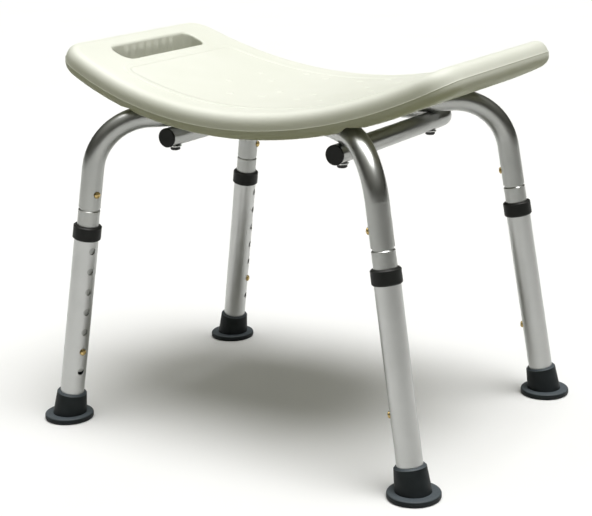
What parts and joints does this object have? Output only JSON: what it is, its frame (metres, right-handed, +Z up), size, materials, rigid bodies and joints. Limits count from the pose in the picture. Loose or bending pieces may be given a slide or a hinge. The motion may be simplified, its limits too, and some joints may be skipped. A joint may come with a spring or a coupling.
{
  "type": "shower stool",
  "caption": "Saddle-seat shower stool with end grip slots on a bent-tube frame with splayed, height-adjustable snap-button legs and rubber feet.",
  "frame": {"origin": "on the floor, under the middle of the stool, with the legs at their rest height", "axes": "+Z up, +X along the seat's length towards its right end, -Y towards the front"},
  "size_m": [0.5285, 0.4104, 0.4439],
  "materials": {
    "seat_plastic": "moulded, faintly grained",
    "insert_brass": "machined",
    "cap_plastic": "moulded",
    "collar_plastic": "moulded, faint flutes",
    "bent_tube": "satin anodised",
    "leg_tube": "satin anodised",
    "screw_black": "black coated",
    "washer_steel": "zinc plated",
    "foot_rubber": "moulded rubber",
    "snap_button": "yellow plated, polished by use",
    "spring_steel": "spring strip"
  },
  "bodies": {
    "frame": {"seat": "seat_plastic", "seat_inserts": "insert_brass", "front_leg_frame": "bent_tube", "rear_leg_frame": "bent_tube", "under_seat_brace": "bent_tube", "brace_cap_left": "cap_plastic", "brace_cap_right": "cap_plastic", "seat_screws": "screw_black", "screw_washers": "washer_steel"},
    "middle_leg_front_left": {"middle_tube_front_left": "leg_tube", "upper_spring_front_left": "spring_steel", "lower_spring_front_left": "spring_steel"},
    "lower_leg_front_left": {"lower_tube_front_left": "leg_tube", "collar_front_left": "collar_plastic", "foot_front_left": "foot_rubber", "foot_washer_front_left": "washer_steel"},
    "upper_snap_front_left": {"upper_button_front_left": "snap_button"},
    "lower_snap_front_left": {"lower_button_front_left": "snap_button"},
    "middle_leg_front_right": {"middle_tube_front_right": "leg_tube", "upper_spring_front_right": "spring_steel", "lower_spring_front_right": "spring_steel"},
    "lower_leg_front_right": {"lower_tube_front_right": "leg_tube", "collar_front_right": "collar_plastic", "foot_front_right": "foot_rubber", "foot_washer_front_right": "washer_steel"},
    "upper_snap_front_right": {"upper_button_front_right": "snap_button"},
    "lower_snap_front_right": {"lower_button_front_right": "snap_button"},
    "middle_leg_rear_right": {"middle_tube_rear_right": "leg_tube", "upper_spring_rear_right": "spring_steel", "lower_spring_rear_right": "spring_steel"},
    "lower_leg_rear_right": {"lower_tube_rear_right": "leg_tube", "collar_rear_right": "collar_plastic", "foot_rear_right": "foot_rubber", "foot_washer_rear_right": "washer_steel"},
    "upper_snap_rear_right": {"upper_button_rear_right": "snap_button"},
    "lower_snap_rear_right": {"lower_button_rear_right": "snap_button"},
    "middle_leg_rear_left": {"middle_tube_rear_left": "leg_tube", "upper_spring_rear_left": "spring_steel", "lower_spring_rear_left": "spring_steel"},
    "lower_leg_rear_left": {"lower_tube_rear_left": "leg_tube", "collar_rear_left": "collar_plastic", "foot_rear_left": "foot_rubber", "foot_washer_rear_left": "washer_steel"},
    "upper_snap_rear_left": {"upper_button_rear_left": "snap_button"},
    "lower_snap_rear_left": {"lower_button_rear_left": "snap_button"}
  },
  "joints": [
    {"name": "leg_pull_front_left", "type": "slide", "parent": "frame", "child": "middle_leg_front_left", "axis": [-0.1554, -0.0415, -0.987], "range_m": [0, 0.042], "deforming": ["upper_button_front_left"]},
    {"name": "leg_height_front_left", "type": "slide", "parent": "middle_leg_front_left", "child": "lower_leg_front_left", "axis": [-0.1554, -0.0415, -0.987], "range_m": [0, 0.127], "deforming": ["lower_button_front_left"]},
    {"name": "upper_button_press_front_left", "type": "slide", "parent": "middle_leg_front_left", "child": "upper_snap_front_left", "axis": [-0.9454, 0.2959, 0.1364], "range_m": [0, 0.0046], "stiffness_N_per_m": 1500, "deforming": ["upper_spring_front_left"]},
    {"name": "lower_button_press_front_left", "type": "slide", "parent": "middle_leg_front_left", "child": "lower_snap_front_left", "axis": [-0.9454, 0.2959, 0.1364], "range_m": [0, 0.0048], "stiffness_N_per_m": 1500, "deforming": ["lower_spring_front_left"]},
    {"name": "leg_pull_front_right", "type": "slide", "parent": "frame", "child": "middle_leg_front_right", "axis": [0.1554, -0.0415, -0.987], "range_m": [0, 0.042], "deforming": ["upper_button_front_right"]},
    {"name": "leg_height_front_right", "type": "slide", "parent": "middle_leg_front_right", "child": "lower_leg_front_right", "axis": [0.1554, -0.0415, -0.987], "range_m": [0, 0.127], "deforming": ["lower_button_front_right"]},
    {"name": "upper_button_press_front_right", "type": "slide", "parent": "middle_leg_front_right", "child": "upper_snap_front_right", "axis": [0.9454, 0.2959, 0.1364], "range_m": [0, 0.0046], "stiffness_N_per_m": 1500, "deforming": ["upper_spring_front_right"]},
    {"name": "lower_button_press_front_right", "type": "slide", "parent": "middle_leg_front_right", "child": "lower_snap_front_right", "axis": [0.9454, 0.2959, 0.1364], "range_m": [0, 0.0048], "stiffness_N_per_m": 1500, "deforming": ["lower_spring_front_right"]},
    {"name": "leg_pull_rear_right", "type": "slide", "parent": "frame", "child": "middle_leg_rear_right", "axis": [0.1554, 0.0415, -0.987], "range_m": [0, 0.042], "deforming": ["upper_button_rear_right"]},
    {"name": "leg_height_rear_right", "type": "slide", "parent": "middle_leg_rear_right", "child": "lower_leg_rear_right", "axis": [0.1554, 0.0415, -0.987], "range_m": [0, 0.127], "deforming": ["lower_button_rear_right"]},
    {"name": "upper_button_press_rear_right", "type": "slide", "parent": "middle_leg_rear_right", "child": "upper_snap_rear_right", "axis": [0.9489, 0.2716, 0.1608], "range_m": [0, 0.0046], "stiffness_N_per_m": 1500, "deforming": ["upper_spring_rear_right"]},
    {"name": "lower_button_press_rear_right", "type": "slide", "parent": "middle_leg_rear_right", "child": "lower_snap_rear_right", "axis": [0.9489, 0.2716, 0.1608], "range_m": [0, 0.0048], "stiffness_N_per_m": 1500, "deforming": ["lower_spring_rear_right"]},
    {"name": "leg_pull_rear_left", "type": "slide", "parent": "frame", "child": "middle_leg_rear_left", "axis": [-0.1554, 0.0415, -0.987], "range_m": [0, 0.042], "deforming": ["upper_button_rear_left"]},
    {"name": "leg_height_rear_left", "type": "slide", "parent": "middle_leg_rear_left", "child": "lower_leg_rear_left", "axis": [-0.1554, 0.0415, -0.987], "range_m": [0, 0.127], "deforming": ["lower_button_rear_left"]},
    {"name": "upper_button_press_rear_left", "type": "slide", "parent": "middle_leg_rear_left", "child": "upper_snap_rear_left", "axis": [-0.9454, -0.2959, 0.1364], "range_m": [0, 0.0046], "stiffness_N_per_m": 1500, "deforming": ["upper_spring_rear_left"]},
    {"name": "lower_button_press_rear_left", "type": "slide", "parent": "middle_leg_rear_left", "child": "lower_snap_rear_left", "axis": [-0.9454, -0.2959, 0.1364], "range_m": [0, 0.0048], "stiffness_N_per_m": 1500, "deforming": ["lower_spring_rear_left"]}
  ]
}
